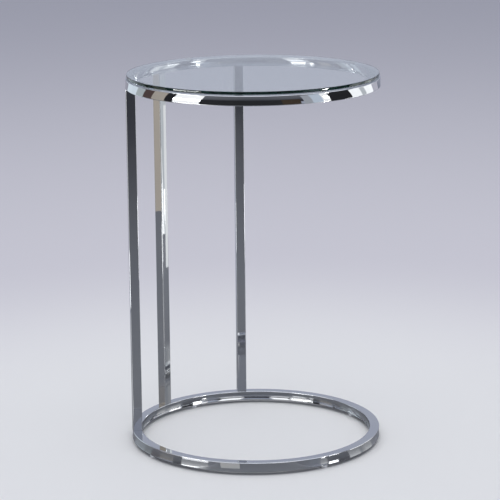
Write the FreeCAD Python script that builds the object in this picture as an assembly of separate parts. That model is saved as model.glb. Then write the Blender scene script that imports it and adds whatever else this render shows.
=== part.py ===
"""Round side table on a C-shaped frame of chromed square tube.

A ring on the floor and a ring under the plate are held apart by three legs that
stand close together at the back, so the table slides over the edge of a sofa or
a bed. A round plate of clear glass lies loose on pads on the upper ring.

Frame: millimetres, +Z up, origin on the floor below the centre of the plate.
The middle leg is on +Y, and the open side of the C faces -Y.
"""
import FreeCAD, Part
import math
import os

# ---- Driving dimensions ------------------------------------------------------

# Square tube that the rings and the legs are made of
tube_size = 16.0
tube_wall = 1.2
tube_corner_radius = 2.0

# The lower and the upper ring
ring_diameter = 420.0

# The legs: one at the back and one on each side of it
leg_length = 582.0
back_leg_angle = 90.0
leg_spacing_angle = 45.0

# Glass plate
glass_thickness = 5.0
glass_setback = 2.0
glass_edge_bevel = 0.7

# Clear pads between the upper ring and the plate
glass_pad_count = 4
glass_pad_first_angle = -19.0
glass_pad_diameter = 10.0
glass_pad_height = 1.5

# Clear bumper feet under the lower ring
foot_count = 4
foot_first_angle = -19.0
foot_diameter = 14.0
foot_height = 5.0

# Threaded plug pressed into the lower end of a leg
plug_length = 20.0
plug_lead_in = 1.0
plug_clearance = 0.05

# Cap screw that draws the lower ring against the end of a leg
screw_diameter = 6.0
screw_length = 20.0
screw_head_diameter = 10.0
screw_head_height = 6.0
screw_socket_width = 5.0
screw_socket_depth = 3.0
thread_clearance = 0.05
screw_hole_clearance = 0.3

# Split spring washer between the screw's head and the wall of the ring
washer_width = 1.9
washer_thickness = 1.6
washer_split = 1.0
washer_bore_clearance = 0.1

# Hole in the ring's far wall, where the screw and its key go in
access_clearance = 0.5

# ---- Sizes that follow -------------------------------------------------------

ring_radius = ring_diameter / 2
tube_line_radius = ring_radius - tube_size / 2
tube_inside = tube_size - 2 * tube_wall
# A flat across each corner touches the middle of the tube's rounding
tube_corner_bevel = tube_corner_radius * (2 - math.sqrt(2))

lower_ring_z = foot_height
leg_foot_z = lower_ring_z + tube_size
leg_head_z = leg_foot_z + leg_length
glass_pad_z = leg_head_z + tube_size
glass_z = glass_pad_z + glass_pad_height

screw_radius = screw_diameter / 2
screw_head_radius = screw_head_diameter / 2
screw_hole_radius = screw_radius + screw_hole_clearance
washer_bore_radius = screw_radius + washer_bore_clearance
washer_radius = washer_bore_radius + washer_width
access_hole_radius = max(screw_head_radius, washer_radius) + access_clearance
screw_seat = -tube_wall - washer_thickness

leg_angles = {
    "left": back_leg_angle + leg_spacing_angle,
    "back": back_leg_angle,
    "right": back_leg_angle - leg_spacing_angle,
}

origin = FreeCAD.Vector(0, 0, 0)
along_x = FreeCAD.Vector(1, 0, 0)
up = FreeCAD.Vector(0, 0, 1)


# ---- Shapes used more than once ----------------------------------------------

def square(side, corner_bevel=0.0):
    """Outline of a square about the origin in the XY plane, its corners cut off."""
    half = side / 2
    flat = half - corner_bevel
    corners = []
    for quarter in range(4):
        turn = FreeCAD.Rotation(up, 90 * quarter)
        corners.append(turn.multVec(FreeCAD.Vector(half, flat, 0)))
        if corner_bevel > 0:
            corners.append(turn.multVec(FreeCAD.Vector(flat, half, 0)))
    return Part.makePolygon(corners + corners[:1])


def cylinder(radius, bottom, top):
    """Upright cylinder on the Z axis between two heights."""
    return Part.makeCylinder(radius, top - bottom, FreeCAD.Vector(0, 0, bottom), up)


def turned(outline):
    """Solid turned about the Z axis from its (radius, height) corners in order."""
    corners = [FreeCAD.Vector(radius, 0, height) for radius, height in outline]
    return Part.Face(Part.makePolygon(corners + corners[:1])).revolve(origin, up, 360)


def on_ring(shape, angle, z):
    """Copy of a shape carried out from the origin to the line of the ring's tube."""
    placed = shape.copy()
    placed.translate(FreeCAD.Vector(tube_line_radius, 0, z))
    placed.rotate(origin, up, angle)
    return placed


def spaced_angles(count, first_angle):
    return [first_angle + 360 / count * index for index in range(count)]


# ---- Frame -------------------------------------------------------------------

def round_bar(outline):
    """Solid ring with the outline as its section, its middle at height 0."""
    section = Part.Face(outline)
    section.rotate(origin, along_x, 90)
    section.translate(FreeCAD.Vector(tube_line_radius, 0, 0))
    return section.revolve(origin, up, 360)


def ring():
    """Hollow ring of the square tube, its middle at height 0."""
    outside = round_bar(square(tube_size, tube_corner_bevel))
    return outside.cut(round_bar(square(tube_inside)))


def lower_ring():
    """The ring on the feet, with the holes for the screws.

    Each screw passes a close hole in the wall under the leg, and comes in from
    below through a wider hole in the wall on the floor's side.
    """
    body = ring()
    for angle in leg_angles.values():
        body = body.cut(on_ring(cylinder(screw_hole_radius, 0, tube_size), angle, 0))
        body = body.cut(on_ring(cylinder(access_hole_radius, -tube_size, 0), angle, 0))
    body.translate(up * (lower_ring_z + tube_size / 2))
    return body


def upper_ring():
    """The ring under the plate, welded to the legs, with no holes."""
    body = ring()
    body.translate(up * (leg_head_z + tube_size / 2))
    return body


def leg():
    """Square tube, open at both ends, standing on height 0."""
    outside = Part.Face(square(tube_size, tube_corner_bevel))
    inside = Part.Face(square(tube_inside))
    return outside.extrude(up * leg_length).cut(inside.extrude(up * leg_length))


# ---- Joint between a leg and the lower ring ----------------------------------
# Height 0 is the plane where the leg's end meets the ring. The leg goes up from
# there, and the washer and the screw's head lie below, inside the ring's tube.

def plug():
    """Square block in the tube's end, with a threaded bore and a lead-in above."""
    side = tube_inside - 2 * plug_clearance
    shoulder = plug_length - plug_lead_in
    lead_in_foot = square(side)
    lead_in_foot.translate(up * shoulder)
    lead_in_end = square(side - 2 * plug_lead_in)
    lead_in_end.translate(up * plug_length)
    body = Part.Face(square(side)).extrude(up * shoulder)
    body = body.fuse(Part.makeLoft([lead_in_foot, lead_in_end], True, True))
    return body.cut(cylinder(screw_radius + thread_clearance, 0, plug_length))


def washer():
    """Spring washer, split on its outer side, against the inside of the wall."""
    body = cylinder(washer_radius, screw_seat, -tube_wall)
    body = body.cut(cylinder(washer_bore_radius, screw_seat, -tube_wall))
    split_corner = FreeCAD.Vector(0, -washer_split / 2, screw_seat)
    return body.cut(Part.makeBox(washer_radius, washer_split, washer_thickness, split_corner))


def screw():
    """Cap screw with a hexagon socket, its head against the washer."""
    head_end = screw_seat - screw_head_height
    body = cylinder(screw_head_radius, head_end, screw_seat)
    body = body.fuse(cylinder(screw_radius, head_end, screw_seat + screw_length))
    corner = FreeCAD.Vector(screw_socket_width / math.sqrt(3), 0, head_end)
    corners = [FreeCAD.Rotation(up, 60 * side).multVec(corner) for side in range(6)]
    socket = Part.Face(Part.makePolygon(corners + corners[:1]))
    return body.cut(socket.extrude(up * screw_socket_depth))


# ---- Glass plate, its pads and the feet --------------------------------------

def glass_top():
    """Round plate with a bevelled edge, lying on the pads."""
    radius = ring_radius - glass_setback
    top = glass_z + glass_thickness
    return turned([
        (0, glass_z),
        (radius - glass_edge_bevel, glass_z),
        (radius, glass_z + glass_edge_bevel),
        (radius, top - glass_edge_bevel),
        (radius - glass_edge_bevel, top),
        (0, top),
    ])


def glass_pad():
    """Flat clear disc."""
    return cylinder(glass_pad_diameter / 2, 0, glass_pad_height)


def foot():
    """Round clear bumper with a flat sole."""
    return cylinder(foot_diameter / 2, 0, foot_height)


# ---- Assembly ----------------------------------------------------------------

def assembly():
    """Every piece of the table, by name, in its place."""
    pieces = {
        "lower_ring": lower_ring(),
        "upper_ring": upper_ring(),
        "glass_top": glass_top(),
    }
    for side, angle in leg_angles.items():
        for name, shape in (("leg", leg()), ("plug", plug()), ("washer", washer()), ("screw", screw())):
            pieces[f"{name}_{side}"] = on_ring(shape, angle, leg_foot_z)
    for number, angle in enumerate(spaced_angles(glass_pad_count, glass_pad_first_angle), 1):
        pieces[f"glass_pad_{number}"] = on_ring(glass_pad(), angle, glass_pad_z)
    for number, angle in enumerate(spaced_angles(foot_count, foot_first_angle), 1):
        pieces[f"foot_{number}"] = on_ring(foot(), angle, 0)
    return pieces


os.makedirs("parts", exist_ok=True)
for piece_name, piece in assembly().items():
    piece.exportStep(f"parts/{piece_name}.step")
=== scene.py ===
"""The looks of the round C-shaped side table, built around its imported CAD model.

The chromed tubes, the glass plate, its pads and the feet are smooth meshes in the
places of their CAD nodes. The screws, washers and plugs stay as the CAD made them.
Everything is in metres in the model's frame: +Z up, origin on the floor under the
centre of the plate.
"""

import math

import bmesh
import bpy
from mathutils import Matrix, Vector

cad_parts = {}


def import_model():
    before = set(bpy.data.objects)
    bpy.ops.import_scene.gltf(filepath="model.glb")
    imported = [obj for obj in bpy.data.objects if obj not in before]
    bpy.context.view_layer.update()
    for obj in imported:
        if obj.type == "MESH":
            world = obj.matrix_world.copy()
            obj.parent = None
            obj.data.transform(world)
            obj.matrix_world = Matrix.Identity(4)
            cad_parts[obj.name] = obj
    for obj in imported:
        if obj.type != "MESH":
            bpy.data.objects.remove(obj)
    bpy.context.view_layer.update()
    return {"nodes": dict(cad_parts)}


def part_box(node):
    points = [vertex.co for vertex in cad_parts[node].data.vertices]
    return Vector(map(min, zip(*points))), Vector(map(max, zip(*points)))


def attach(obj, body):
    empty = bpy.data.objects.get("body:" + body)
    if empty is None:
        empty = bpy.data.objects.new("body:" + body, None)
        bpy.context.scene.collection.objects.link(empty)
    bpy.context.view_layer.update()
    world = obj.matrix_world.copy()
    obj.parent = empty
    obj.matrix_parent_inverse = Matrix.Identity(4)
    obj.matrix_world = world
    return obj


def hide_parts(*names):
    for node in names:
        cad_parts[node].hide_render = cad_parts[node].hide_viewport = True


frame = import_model()

MM = 0.001
SIDES = ("left", "back", "right")
PAD_AND_FOOT_COUNT = 4


# ---- Sizes -------------------------------------------------------------------

# Read from the frame
ring_low, ring_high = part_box("lower_ring")
RING_RADIUS = ring_high.x
TUBE = ring_high.z - ring_low.z
TUBE_LINE = RING_RADIUS - TUBE / 2
LOWER_RING_Z = (ring_low.z + ring_high.z) / 2
UPPER_RING_Z = sum(corner.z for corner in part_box("upper_ring")) / 2

# The tube's own form. Its upright faces sink in, first the outer and then the inner
# one, by the slope that each reaches at its ends. Inside, the tube is left straight.
TUBE_WALL = 1.2 * MM
TUBE_CORNER = 1.2 * MM
INSIDE_CORNER = 0.8 * MM
RING_HOLLOWS = (math.radians(8.0), math.radians(17.0))
LEG_HOLLOWS = (math.radians(1.6), math.radians(1.6))
LEG_END_ROUNDING = 0.3 * MM

# Waviness of the rolled rings: its measure, and each wave as (count round the ring,
# share of the measure, phase in radians)
WOBBLE = 0.00002
WAVES = ((17, 1.0, 0.6), (29, 0.7, 2.1))

# Holes of the lower ring, as radii. Their cutters reach from the tube's middle by a
# share of its size.
SCREW_HOLE = 3.3 * MM
ACCESS_HOLE = 5.5 * MM
CUTTER_REACH = 0.75

# Glass plate and pads
GLASS_ARRIS = 0.7 * MM
PAD_ROUNDING = 0.6 * MM

# Feet: the sole's share of the radius, its rounding and the angle where that ends, then
# how far the lip at the top stands out and between which shares of the height
FOOT_SOLE_SHARE = 0.86
FOOT_ROUNDING = 1.4 * MM
FOOT_ROUNDING_END = -15
FOOT_LIP = 0.3 * MM
FOOT_LIP_START = 0.80
FOOT_LIP_END = 0.90

# Fineness of the meshes
RING_STEPS = 384
SMALL_STEPS = 48
CORNER_STEPS = 8
FACE_STEPS = 8
ARC_STEPS = 6
ARRIS_STEPS = 5
EDGE_GUARD = 0.25 * MM
SHARP_EDGE = math.radians(35)


# ---- Node materials ----------------------------------------------------------

# Sockets of the Mix node that hold its colours
MIX_LOW, MIX_HIGH, MIX_RESULT = 6, 7, 2


class Finish:
    """A material, with short ways to add and link its nodes."""

    def __init__(self, name):
        self.material = bpy.data.materials.new(name)
        self.material.use_nodes = True
        self.nodes = self.material.node_tree.nodes
        self.shader = self.nodes["Principled BSDF"]
        self.output = self.nodes["Material Output"]

    def add(self, kind, **settings):
        node = self.nodes.new(kind)
        for name, value in settings.items():
            setattr(node, name, value)
        return node

    def link(self, source, target):
        self.material.node_tree.links.new(source, target)

    def feed(self, value, socket):
        """Links a node's output to the socket, or sets the socket to a constant."""
        if isinstance(value, bpy.types.NodeSocket):
            self.link(value, socket)
        else:
            socket.default_value = value

    def set(self, **values):
        """Sets the shader's own sockets. An underscore stands for a space."""
        for name, value in values.items():
            self.shader.inputs[name.replace("_", " ")].default_value = value

    def shade(self, **sources):
        """Links nodes' outputs to the shader's sockets, named as for set."""
        for name, source in sources.items():
            self.link(source, self.shader.inputs[name.replace("_", " ")])

    def math(self, operation, a, b=None):
        node = self.add("ShaderNodeMath", operation=operation)
        self.feed(a, node.inputs[0])
        if b is not None:
            self.feed(b, node.inputs[1])
        return node.outputs[0]

    def vector_math(self, operation, a, b=None, result="Vector"):
        node = self.add("ShaderNodeVectorMath", operation=operation)
        self.feed(a, node.inputs[0])
        if b is not None:
            self.feed(b, node.inputs[1])
        return node.outputs[result]

    def point(self):
        return self.add("ShaderNodeTexCoord").outputs["Object"]

    def noise(self, point, scale, detail=2.0, roughness=0.5):
        node = self.add("ShaderNodeTexNoise")
        self.link(point, node.inputs["Vector"])
        node.inputs["Scale"].default_value = scale
        node.inputs["Detail"].default_value = detail
        node.inputs["Roughness"].default_value = roughness
        return node.outputs["Fac"]

    def spread(self, value, low, high, start=0.0, end=1.0):
        """Value from start..end to low..high, smoothly."""
        node = self.add("ShaderNodeMapRange", interpolation_type="SMOOTHSTEP")
        self.link(value, node.inputs["Value"])
        node.inputs["From Min"].default_value = start
        node.inputs["From Max"].default_value = end
        node.inputs["To Min"].default_value = low
        node.inputs["To Max"].default_value = high
        return node.outputs["Result"]

    def between(self, value, low, high):
        """Colour that goes from low to high as the value goes from 0 to 1."""
        node = self.add("ShaderNodeMix", data_type="RGBA")
        self.link(value, node.inputs["Factor"])
        self.feed(low, node.inputs[MIX_LOW])
        self.feed(high, node.inputs[MIX_HIGH])
        return node.outputs[MIX_RESULT]

    def bump(self, height, distance, below=None):
        """Normal of a relief, over the normal of a coarser one where below is given."""
        node = self.add("ShaderNodeBump")
        self.link(height, node.inputs["Height"])
        node.inputs["Distance"].default_value = distance
        if below is not None:
            self.link(below, node.inputs["Normal"])
        return node.outputs["Normal"]


def along_ring(finish, point, along, across):
    """Point scaled by one measure along the ring's circle and by another across it."""
    parts = finish.add("ShaderNodeSeparateXYZ")
    finish.link(point, parts.inputs[0])
    x, y, z = parts.outputs
    angle = finish.math("ARCTAN2", y, x)
    squares = finish.math("ADD", finish.math("MULTIPLY", x, x), finish.math("MULTIPLY", y, y))
    radius = finish.math("SQRT", squares)
    joined = finish.add("ShaderNodeCombineXYZ")
    finish.link(finish.math("MULTIPLY", angle, along), joined.inputs[0])
    finish.link(finish.math("MULTIPLY", radius, across), joined.inputs[1])
    finish.link(finish.math("MULTIPLY", z, across), joined.inputs[2])
    return joined.outputs[0]


def along_upright(finish, point, along, across):
    """Point scaled by one measure along the upright axis and by another across it."""
    return finish.vector_math("MULTIPLY", point, (across, across, along))


def chrome(name, drawn_out):
    """Polished chrome plate: faint polishing lines along the tube, haze and slow waviness."""
    finish = Finish(name)
    finish.set(Metallic=1.0)
    point = finish.point()
    haze = finish.noise(point, scale=22.0, detail=4.0, roughness=0.6)
    drawn_point = drawn_out(finish, point, along=6.0, across=1500.0)
    lines = finish.noise(drawn_point, scale=1.0, detail=3.0, roughness=0.6)
    tone = finish.spread(finish.noise(point, scale=9.0), low=0.0, high=1.0, start=0.3, end=0.7)
    finish.shade(Base_Color=finish.between(
        tone,
        low=(0.56, 0.575, 0.60, 1),
        high=(0.60, 0.61, 0.625, 1),
    ))
    finish.shade(Roughness=finish.math(
        "ADD",
        finish.spread(haze, low=0.012, high=0.045, start=0.35, end=0.75),
        finish.spread(lines, low=0.0, high=0.02, start=0.45, end=0.8),
    ))
    slow = finish.bump(finish.noise(point, scale=30.0, detail=1.0), distance=0.00006)
    finish.shade(Normal=finish.bump(lines, distance=0.0000008, below=slow))
    return finish.material


def clear_glass():
    """Float glass: clear through the plate, dark green along it, with faint smears."""
    finish = Finish("float_glass")
    finish.set(Base_Color=(0.985, 1.0, 0.993, 1), IOR=1.52, Transmission_Weight=1.0)
    smears = finish.noise(finish.point(), scale=16.0, detail=5.0, roughness=0.65)
    finish.shade(Roughness=finish.spread(smears, low=0.0, high=0.012, start=0.55, end=0.85))
    inside = finish.add("ShaderNodeVolumeAbsorption")
    inside.inputs["Color"].default_value = (0.72, 0.79, 0.775, 1)
    inside.inputs["Density"].default_value = 38.0
    finish.link(inside.outputs[0], finish.output.inputs["Volume"])
    return finish.material


def clear_rubber():
    """Soft polyurethane, milky and only partly clear, with a fine satin skin."""
    finish = Finish("clear_rubber")
    finish.set(IOR=1.48, Transmission_Weight=0.25)
    point = finish.point()
    cloud = finish.noise(point, scale=420.0, detail=3.0)
    finish.shade(
        Base_Color=finish.between(cloud, low=(0.94, 0.95, 0.95, 1), high=(0.98, 0.99, 0.98, 1)),
        Roughness=finish.spread(cloud, low=0.10, high=0.24),
        Normal=finish.bump(finish.noise(point, scale=2600.0), distance=0.00003),
    )
    return finish.material


def zinc_steel():
    """Bright zinc plate on steel: small crystals, turning marks and a blue cast."""
    finish = Finish("zinc_steel")
    finish.set(Metallic=1.0)
    point = finish.point()
    crystals = finish.noise(point, scale=900.0, detail=4.0, roughness=0.6)
    turned_point = along_upright(finish, point, along=9000.0, across=300.0)
    turning = finish.noise(turned_point, scale=1.0)
    finish.shade(
        Base_Color=finish.between(crystals, low=(0.50, 0.53, 0.57, 1), high=(0.68, 0.70, 0.71, 1)),
        Roughness=finish.spread(crystals, low=0.22, high=0.42),
        Normal=finish.bump(turning, distance=0.00002),
    )
    return finish.material


# ---- Mesh building -----------------------------------------------------------

def tube_section(side, corner, hollows=(0.0, 0.0)):
    """Outline of a square tube with round corners, as (across, up) points.

    Its two upright faces, first the outer one, sink in. A hollow is the slope that the
    face reaches at its ends.
    """
    outer, inner = (quarter_section(side / 2, corner, hollow) for hollow in hollows)
    upper = outer + [(-x, y) for x, y in reversed(inner[:-1])]
    lower = [(x, -y) for x, y in reversed(upper[1:-1])]
    return upper + lower


def quarter_section(half, corner, hollow):
    """Points from the middle of the upright face to the middle of the top face."""
    face_half = half - corner - corner * math.sin(hollow)
    face_end = half - corner + corner * math.cos(hollow)
    sink = face_half * math.tan(hollow) / 2
    heights = [face_half * 2 * step / FACE_STEPS for step in range(FACE_STEPS // 2)]
    heights.append(face_half - EDGE_GUARD)
    points = [(face_end - sink * (1 - (height / face_half) ** 2), height) for height in heights]
    for step in range(CORNER_STEPS + 1):
        angle = (math.pi / 2 + hollow) * step / CORNER_STEPS - hollow
        points.append((
            half - corner + corner * math.cos(angle),
            half - corner + corner * math.sin(angle),
        ))
    points.append((half - corner - EDGE_GUARD, half))
    points.append((0.0, half))
    return points


def grid(mesh, rows, close_rows=False, close_columns=True, flip=False):
    """Faces over rows of points, turned over where flip is set."""
    made = [[mesh.verts.new(point) for point in row] for row in rows]
    row_pairs = len(made) if close_rows else len(made) - 1
    columns = len(made[0])
    column_pairs = columns if close_columns else columns - 1
    for row in range(row_pairs):
        here, there = made[row], made[(row + 1) % len(made)]
        for column in range(column_pairs):
            beside = (column + 1) % columns
            corners = [here[column], here[beside], there[beside], there[column]]
            if flip:
                corners.reverse()
            mesh.faces.new(corners)
    return made


def object_from(name, mesh, finish):
    """Blender object of a bmesh, smooth but for its sharp edges."""
    data = bpy.data.meshes.new(name)
    mesh.to_mesh(data)
    mesh.free()
    data.shade_smooth()
    data.set_sharp_from_angle(angle=SHARP_EDGE)
    data.materials.append(finish)
    piece = bpy.data.objects.new(name, data)
    bpy.context.scene.collection.objects.link(piece)
    return piece


def ring_rows(section, z, wobble=0.0):
    """The section carried round the table, waving inward only, by the wobble's measure."""
    rows = []
    crest = sum(share for _, share, _ in WAVES)
    for step in range(RING_STEPS):
        angle = 2 * math.pi * step / RING_STEPS
        wave = sum(share * math.sin(count * angle + phase) for count, share, phase in WAVES) - crest
        out = Vector((math.cos(angle), math.sin(angle), 0))
        rows.append([
            out * (TUBE_LINE + across + wobble * wave) + Vector((0, 0, z + up))
            for across, up in section
        ])
    return rows


def placed(shape_rows, angle, z):
    """Rows of points about the Z axis, carried out to the ring's line and up to z."""
    place = Matrix.Rotation(angle, 4, "Z") @ Matrix.Translation((TUBE_LINE, 0, z))
    return [[place @ point for point in row] for row in shape_rows]


def turned_rows(outline, steps):
    """Rows of points that a (radius, height) outline makes about the Z axis."""
    rows = []
    for radius, height in outline:
        rows.append([
            Vector((
                radius * math.cos(2 * math.pi * step / steps),
                radius * math.sin(2 * math.pi * step / steps),
                height,
            ))
            for step in range(steps)
        ])
    return rows


def cap(mesh, row, upward):
    """Closes a row of vertices with a flat fan about its middle."""
    middle = mesh.verts.new(sum((vertex.co for vertex in row), Vector()) / len(row))
    for index, vertex in enumerate(row):
        beside = row[(index + 1) % len(row)]
        corners = [vertex, beside, middle] if upward else [beside, vertex, middle]
        mesh.faces.new(corners)


def closed_grid(mesh, rows):
    """Faces over rows of points that go up, with a cap at both ends."""
    made = grid(mesh, rows)
    cap(mesh, made[0], False)
    cap(mesh, made[-1], True)


def arc(centre, radius, start, end, steps=ARC_STEPS):
    """Points of an arc about a (radius, height) centre, angles in degrees."""
    points = []
    for step in range(steps + 1):
        angle = math.radians(start + (end - start) * step / steps)
        points.append((centre[0] + radius * math.cos(angle), centre[1] + radius * math.sin(angle)))
    return points


# ---- Pieces ------------------------------------------------------------------

def add_piece(piece, body, slot, *nodes):
    """Puts a piece on its body and in the place of its CAD nodes."""
    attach(piece, body)
    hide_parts(*nodes)
    return piece


def node_angle(node):
    """Direction of a node's middle from the table's axis."""
    low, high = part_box(node)
    middle = (low + high) / 2
    return math.atan2(middle.y, middle.x)


def hole_cutters(finish):
    """Cylinders where the screws pass the upper wall and come in by the lower one."""
    reach = TUBE * CUTTER_REACH
    cutters = (
        (SCREW_HOLE, 0.0, reach),
        (ACCESS_HOLE, -reach, -TUBE / 2 + 2 * TUBE_WALL),
    )
    mesh = bmesh.new()
    for side in SIDES:
        angle = node_angle(f"leg_{side}")
        for radius, bottom, top in cutters:
            rows = turned_rows([(radius, bottom), (radius, top)], SMALL_STEPS)
            closed_grid(mesh, placed(rows, angle, LOWER_RING_Z))
    return object_from("ring_holes", mesh, finish)


def cut_away(piece, cutter):
    """Cuts the cutter's volume out of the piece, and deletes the cutter."""
    cut = piece.modifiers.new("holes", "BOOLEAN")
    cut.operation = "DIFFERENCE"
    cut.solver = "EXACT"
    cut.object = cutter
    bpy.context.view_layer.update()
    shown = piece.evaluated_get(bpy.context.evaluated_depsgraph_get())
    whole = bpy.data.meshes.new_from_object(shown)
    piece.modifiers.clear()
    piece.data = whole
    whole.set_sharp_from_angle(angle=SHARP_EDGE)
    bpy.data.objects.remove(cutter)


def ring_on_floor(finish):
    """Hollow ring with the screws' holes in its two walls under each leg."""
    mesh = bmesh.new()
    outer = tube_section(TUBE, TUBE_CORNER, RING_HOLLOWS)
    inner = tube_section(TUBE - 2 * TUBE_WALL, INSIDE_CORNER)
    grid(mesh, ring_rows(outer, LOWER_RING_Z, WOBBLE), close_rows=True, flip=True)
    grid(mesh, ring_rows(inner, LOWER_RING_Z), close_rows=True)
    ring = object_from("ring_on_floor", mesh, finish)
    cut_away(ring, hole_cutters(finish))
    return add_piece(ring, "frame", "chrome", "lower_ring")


def ring_under_glass(finish):
    """Ring without holes. Nothing shows that it is hollow, so it has no inside."""
    mesh = bmesh.new()
    outer = tube_section(TUBE, TUBE_CORNER, RING_HOLLOWS)
    grid(mesh, ring_rows(outer, UPPER_RING_Z, WOBBLE), close_rows=True, flip=True)
    ring = object_from("ring_under_glass", mesh, finish)
    return add_piece(ring, "frame", "chrome", "upper_ring")


def leg(side, finish):
    """Straight tube, open inside, with its ends' edges broken."""
    low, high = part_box(f"leg_{side}")
    angle = node_angle(f"leg_{side}")
    length = high.z - low.z
    outer = tube_section(TUBE, TUBE_CORNER, LEG_HOLLOWS)
    small = tube_section(
        TUBE - 2 * LEG_END_ROUNDING,
        TUBE_CORNER - LEG_END_ROUNDING,
        LEG_HOLLOWS,
    )
    inner = tube_section(TUBE - 2 * TUBE_WALL, INSIDE_CORNER)
    levels = [
        (inner, length),
        (small, length),
        (outer, length - LEG_END_ROUNDING),
        (outer, LEG_END_ROUNDING),
        (small, 0.0),
        (inner, 0.0),
    ]
    rows = [[Vector((x, y, z)) for x, y in section] for section, z in levels]
    mesh = bmesh.new()
    grid(mesh, placed(rows, angle, low.z), close_rows=True, flip=True)
    piece = object_from(f"leg_{side}_tube", mesh, finish)
    return add_piece(piece, "frame", "chrome", f"leg_{side}")


def glass_plate(finish):
    """Round plate with rounded arrises."""
    low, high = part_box("glass_top")
    radius, bottom, top = high.x, low.z, high.z
    rim = radius - GLASS_ARRIS
    outline = [(rim - EDGE_GUARD, bottom)]
    outline += arc((rim, bottom + GLASS_ARRIS), GLASS_ARRIS, -90, 0, ARRIS_STEPS)
    outline += arc((rim, top - GLASS_ARRIS), GLASS_ARRIS, 0, 90, ARRIS_STEPS)
    outline += [(rim - EDGE_GUARD, top)]
    mesh = bmesh.new()
    closed_grid(mesh, turned_rows(outline, RING_STEPS))
    piece = object_from("glass_plate", mesh, finish)
    return add_piece(piece, "glass", "glass", "glass_top")


def turned_piece(name, node, outline, finish):
    """Small round piece at a node's place on the ring, closed at both ends."""
    low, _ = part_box(node)
    mesh = bmesh.new()
    closed_grid(mesh, placed(turned_rows(outline, SMALL_STEPS), node_angle(node), low.z))
    piece = object_from(name, mesh, finish)
    return add_piece(piece, "frame", "clear_rubber", node)


def radius_and_height(node):
    """Half the width and the whole height of a round node."""
    low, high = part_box(node)
    return (high.x - low.x) / 2, high.z - low.z


def pad(number, finish):
    """Thin disc with round edges."""
    node = f"glass_pad_{number}"
    radius, height = radius_and_height(node)
    rim = radius - PAD_ROUNDING
    outline = arc((rim, PAD_ROUNDING), PAD_ROUNDING, -90, 0)
    outline += arc((rim, height - PAD_ROUNDING), PAD_ROUNDING, 0, 90)
    return turned_piece(f"{node}_disc", node, outline, finish)


def foot(number, finish):
    """Bumper: widest where it sticks to the ring, with a smaller flat sole."""
    node = f"foot_{number}"
    radius, height = radius_and_height(node)
    sole_rim = radius * FOOT_SOLE_SHARE - FOOT_ROUNDING
    outline = arc((sole_rim, FOOT_ROUNDING), FOOT_ROUNDING, -90, FOOT_ROUNDING_END)
    outline += [
        (radius - FOOT_LIP, height * FOOT_LIP_START),
        (radius, height * FOOT_LIP_END),
        (radius, height),
    ]
    return turned_piece(f"{node}_bumper", node, outline, finish)


def dress():
    """Every piece of the table in its finish."""
    ring_chrome = chrome("ring_chrome", along_ring)
    leg_chrome = chrome("leg_chrome", along_upright)
    rubber = clear_rubber()
    ring_on_floor(ring_chrome)
    ring_under_glass(ring_chrome)
    for side in SIDES:
        leg(side, leg_chrome)
    glass_plate(clear_glass())
    for number in range(1, PAD_AND_FOOT_COUNT + 1):
        pad(number, rubber)
        foot(number, rubber)
    steel = zinc_steel()
    for side in SIDES:
        for part in ("plug", "screw", "washer"):
            node = frame["nodes"][f"{part}_{side}"]
            for place in node.material_slots:
                place.material = steel


# ---- Studio: camera, lamp and floor ------------------------------------------
# Directions in the studio are seen from above, in degrees from the camera's right
# hand, so 90 is straight away from the camera and 270 is back towards it.

# Angles in degrees, distances in metres, lens and sensor in millimetres. The centre is
# how far right and up of the model's origin the camera looks.
VIEW_AZIMUTH = -52.0
VIEW_ELEVATION = 13.04
VIEW_DISTANCE = 3.71
VIEW_LENS = 159.6
VIEW_SENSOR = 36
VIEW_ROLL = -0.53
VIEW_CENTRE = (-0.0071, 0.3254)
VIEW_CLIP_END = 100

SKY = (0.47, 0.50, 0.60, 1)
FLOOR_RADIUS = 30
MIRRORED_FLOOR_RADIUS = 12
MIRRORED_FLOOR_HEIGHT = 0.2 * MM
FLOOR_DISC_SIDES = 128


def direction(angle):
    """Level unit vector at an angle from the camera's right hand."""
    turn = math.radians(angle + VIEW_AZIMUTH)
    return Vector((math.cos(turn), math.sin(turn), 0))


def camera():
    """Camera at the photograph's viewing angle."""
    data = bpy.data.cameras.new("camera")
    data.lens = VIEW_LENS
    data.sensor_width = VIEW_SENSOR
    data.clip_end = VIEW_CLIP_END
    eye = bpy.data.objects.new("camera", data)
    bpy.context.scene.collection.objects.link(eye)
    tilt = math.radians(VIEW_ELEVATION)
    ahead = direction(90) * math.cos(tilt) - Vector((0, 0, math.sin(tilt)))
    target = direction(0) * VIEW_CENTRE[0] + Vector((0, 0, VIEW_CENTRE[1]))
    turn = ahead.to_track_quat("-Z", "Y").to_matrix().to_4x4()
    roll = Matrix.Rotation(math.radians(VIEW_ROLL), 4, "Z")
    eye.matrix_world = Matrix.Translation(target - ahead * VIEW_DISTANCE) @ turn @ roll
    bpy.context.scene.camera = eye


def world():
    """Plain pale sky."""
    made = bpy.data.worlds.new("studio")
    made.use_nodes = True
    background = made.node_tree.nodes["Background"]
    background.inputs["Color"].default_value = SKY
    background.inputs["Strength"].default_value = 1.0
    bpy.context.scene.world = made


def softbox(name, height, width, glow):
    """Square lamp over the table. glow is the brightness of its face."""
    data = bpy.data.lights.new(name, "AREA")
    data.shape = "SQUARE"
    data.size = width
    data.energy = glow * math.pi * width * width
    lamp = bpy.data.objects.new(name, data)
    bpy.context.scene.collection.objects.link(lamp)
    lamp.location = (0, 0, height)
    lamp.visible_camera = False


def disc(name, radius, height, finish):
    """Flat round sheet about the Z axis."""
    mesh = bmesh.new()
    bmesh.ops.create_circle(mesh, cap_ends=True, radius=radius, segments=FLOOR_DISC_SIDES)
    bmesh.ops.translate(mesh, verts=mesh.verts, vec=(0, 0, height))
    return object_from(name, mesh, finish)


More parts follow.
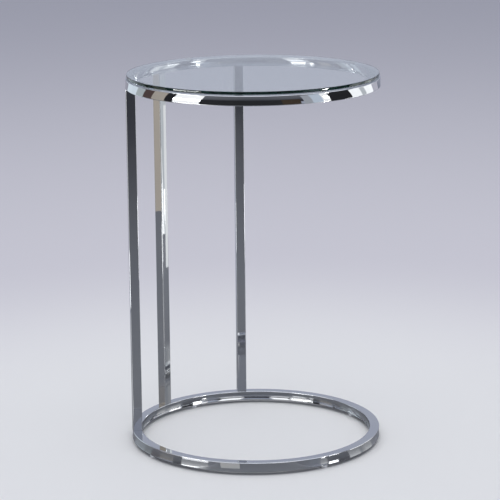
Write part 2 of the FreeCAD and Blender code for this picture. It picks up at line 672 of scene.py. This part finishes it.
def floor():
    """Wide pale floor, a little darker and cooler away from the table."""
    finish = Finish("pale_floor")
    finish.set(Roughness=0.9, Specular_IOR_Level=0.1)
    distance = finish.vector_math("LENGTH", finish.point(), result="Value")
    far = finish.spread(distance, low=0.0, high=1.0, start=0.35, end=1.4)
    finish.shade(Base_Color=finish.between(
        far,
        low=(0.80, 0.79, 0.76, 1),
        high=(0.63, 0.61, 0.63, 1),
    ))
    disc("floor", FLOOR_RADIUS, 0, finish.material)


# ---- Studio: what only reflections show --------------------------------------
# The boards, the sheets and the mirrored floor stand in for the room that the
# photograph's chrome mirrors. Their edges and tones were fitted to the reflections
# seen in the photograph. They don't light matt surfaces, cast no shadow and stay out
# of view, also through the glass.

# Degrees that a plain board leans aside per metre of height, and its height in metres
BOARD_LEAN = 9.0
BOARD_TOP = 0.70

# Degrees between the bends of a board or sheet, a sheet's height over the floor, and
# the share of its colour that a board or sheet has where it is dimmest
SHEET_STEP = 3
SHEET_HEIGHT = 0.4 * MM
DIMMEST_SHARE = 0.85

WHITE = (1, 1, 1)
DAYLIGHT = (0.97, 0.99, 1)
BLACK = (0.03, 0.03, 0.035)
CHARCOAL = (0.035, 0.036, 0.04)
WINDOW_GLOW = 1.65


def mirrored_only(board):
    """Keeps a studio piece out of the picture and the lighting, so only gloss shows it."""
    board.visible_camera = False
    board.visible_diffuse = False
    board.visible_transmission = False
    board.visible_shadow = False


def glowing(name, colour, glow):
    """Matt finish that shines by itself, a little uneven."""
    finish = Finish(name)
    finish.set(
        Roughness=1.0,
        Specular_IOR_Level=0.0,
        Base_Color=(0, 0, 0, 1),
        Emission_Strength=glow,
    )
    grain = finish.noise(finish.point(), scale=5.0)
    dimmest = tuple(DIMMEST_SHARE * value for value in colour)
    finish.shade(Emission_Color=finish.between(grain, low=(*dimmest, 1), high=(*colour, 1)))
    return finish.material


def bent_sheet(name, start, end, edges, lean, finish):
    """Sheet between two directions. Each edge is a (distance, height) from the table's foot."""
    steps = max(2, round((end - start) / SHEET_STEP))
    rows = []
    for distance, height in edges:
        rows.append([
            direction(start + (end - start) * step / steps + lean * height) * distance
            + Vector((0, 0, height))
            for step in range(steps + 1)
        ])
    mesh = bmesh.new()
    grid(mesh, rows, close_columns=False, flip=True)
    mirrored_only(object_from(name, mesh, finish))


def board(
    name, start, end, distance, colour,
    glow=1.0, bottom=0.0, top=BOARD_TOP, lean=BOARD_LEAN,
):
    """Upright board bent round the table between two directions, leaning aside at the top."""
    aside = math.copysign(lean, math.cos(math.radians((start + end) / 2)))
    edges = ((distance, bottom), (distance, top))
    bent_sheet(name, start, end, edges, aside, glowing(name, colour, glow))


def board_row(start, distance, boards):
    """Boards side by side, each a (name, end, colour, what differs from a plain board)."""
    for name, end, colour, differences in boards:
        board(name, start, end, distance, colour, **differences)
        start = end


def sheet_on_floor(name, start, end, near, far, glow):
    """White sheet that lies on the floor between two directions."""
    edges = ((near, SHEET_HEIGHT), (far, SHEET_HEIGHT))
    bent_sheet(name, start, end, edges, 0.0, glowing(name, WHITE, glow))


def mirrored_floor():
    """Floor that the chrome shows: grey by the table, with painted shade that darkens it far in
    front, paler behind.
    """
    finish = Finish("mirrored_floor")
    finish.set(Specular_IOR_Level=0.5)
    depth = finish.vector_math("DOT_PRODUCT", finish.point(), direction(90), result="Value")
    # Painted shade: the floor in the chrome grows dark far in front, as if the light fell off
    # there.
    front = finish.spread(depth, low=0.0, high=1.0, start=-3.5, end=-0.2)
    near = finish.between(front, low=(0.045, 0.045, 0.05, 1), high=(0.225, 0.228, 0.232, 1))
    back = finish.spread(depth, low=0.0, high=1.0, start=0.15, end=1.2)
    finish.shade(Base_Color=finish.between(back, low=near, high=(0.42, 0.43, 0.47, 1)))
    distance = finish.vector_math("LENGTH", finish.point(), result="Value")
    finish.shade(Roughness=finish.math(
        "MAXIMUM",
        finish.spread(distance, low=0.06, high=0.9, start=0.32, end=0.42),
        finish.spread(depth, low=0.9, high=0.06, start=-0.24, end=-0.215),
    ))
    mirrored_only(disc(
        "mirrored_floor", MIRRORED_FLOOR_RADIUS, MIRRORED_FLOOR_HEIGHT, finish.material,
    ))


def left_boards():
    """Room to the left: tones that run up to a bright window with a lamp in it."""
    board_row(112, 1.1, (
        ("left_dim", 131.8, (0.42, 0.42, 0.50), {}),
        ("left_pale", 156, (1.0, 1.12, 1.22), {}),
        ("left_soft", 168.7, (0.62, 0.68, 0.70), {}),
        ("left_brown", 181, (0.13, 0.09, 0.085), {"bottom": 0.165}),
        ("left_beige", 197.5, (0.60, 0.54, 0.47), {"bottom": 0.165}),
        ("left_black", 206, BLACK, {}),
        ("left_window", 232, WHITE, {"glow": WINDOW_GLOW}),
    ))
    board("left_lamp", 206, 232, 1.09, WHITE, glow=14.0, bottom=0.46, top=0.54)


def right_boards():
    """Room to the right: a near bright spot, a black wall and two windows behind it."""
    board_row(306, 1.0, (
        ("right_grey", 313, (0.52, 0.55, 0.60), {"bottom": 0.3}),
        ("right_sky", 323, (0.75, 0.85, 0.98), {"bottom": 0.3}),
        ("right_star", 330, WHITE, {"glow": 1.5, "bottom": 0.12}),
    ))
    board("right_star_core", 325, 329, 0.98, WHITE, glow=40.0, bottom=0.44, top=0.54)
    board("right_black", 330, 355.5, 1.1, BLACK)
    board_row(355, 1.35, (
        ("right_window_1", 371.6, DAYLIGHT, {"glow": WINDOW_GLOW}),
        ("right_post", 379, (0.76, 0.80, 0.84), {}),
        ("right_window_2", 394, DAYLIGHT, {"glow": WINDOW_GLOW}),
        ("right_lavender", 409, (0.66, 0.66, 0.76), {}),
    ))
    board("right_glint", 376, 380.2, 1.0, DAYLIGHT, glow=1.25, top=0.37, lean=0.0)


def low_lights():
    """Low lamps and shining sheets on the floor, for the ring that stands on it."""
    board("left_low_lamp", 206, 230, 1.09, WHITE, glow=6.0, top=0.12)
    board("right_low_lamp_1", 331, 341, 0.99, WHITE, glow=8.0, top=0.18)
    board("right_low_lamp_2", 357, 378, 1.3, WHITE, glow=5.0, top=0.12)
    sheet_on_floor("left_shine", 206, 232, near=0.3, far=1.05, glow=WINDOW_GLOW)
    sheet_on_floor("right_shine", 328, 342, near=0.3, far=0.95, glow=WINDOW_GLOW)
    sheet_on_floor("front_shine", 251.5, 261.5, near=0.235, far=0.251, glow=0.6)


def front_boards():
    """Dark wall behind the camera, and before it two tall lamps and a hood by the table."""
    board("hood", 233, 300, 0.8, CHARCOAL, bottom=0.5, top=0.69)
    board("hood_brown", 286.5, 302, 0.79, (0.075, 0.055, 0.04), bottom=0.5, top=0.69)
    board("front_wall", 225, 315, 6.0, CHARCOAL, top=1.0)
    board("front_lamp_1", 238, 258, 3.0, WHITE, glow=1.9, bottom=0.18, top=0.85)
    board("front_lamp_2", 279, 303, 3.0, WHITE, glow=1.9, bottom=0.18, top=0.85)


def studio():
    """Everything round the table."""
    world()
    floor()
    mirrored_floor()
    softbox("overhead", height=3.2, width=5.4, glow=1.0)
    left_boards()
    right_boards()
    low_lights()
    front_boards()


def light_paths():
    """Enough bounces for light to cross the glass plate from edge to edge."""
    paths = bpy.context.scene.cycles
    paths.max_bounces = 32
    paths.glossy_bounces = 24
    paths.transmission_bounces = 24


dress()
studio()
light_paths()
camera()
bpy.context.scene.view_settings.view_transform = "Standard"
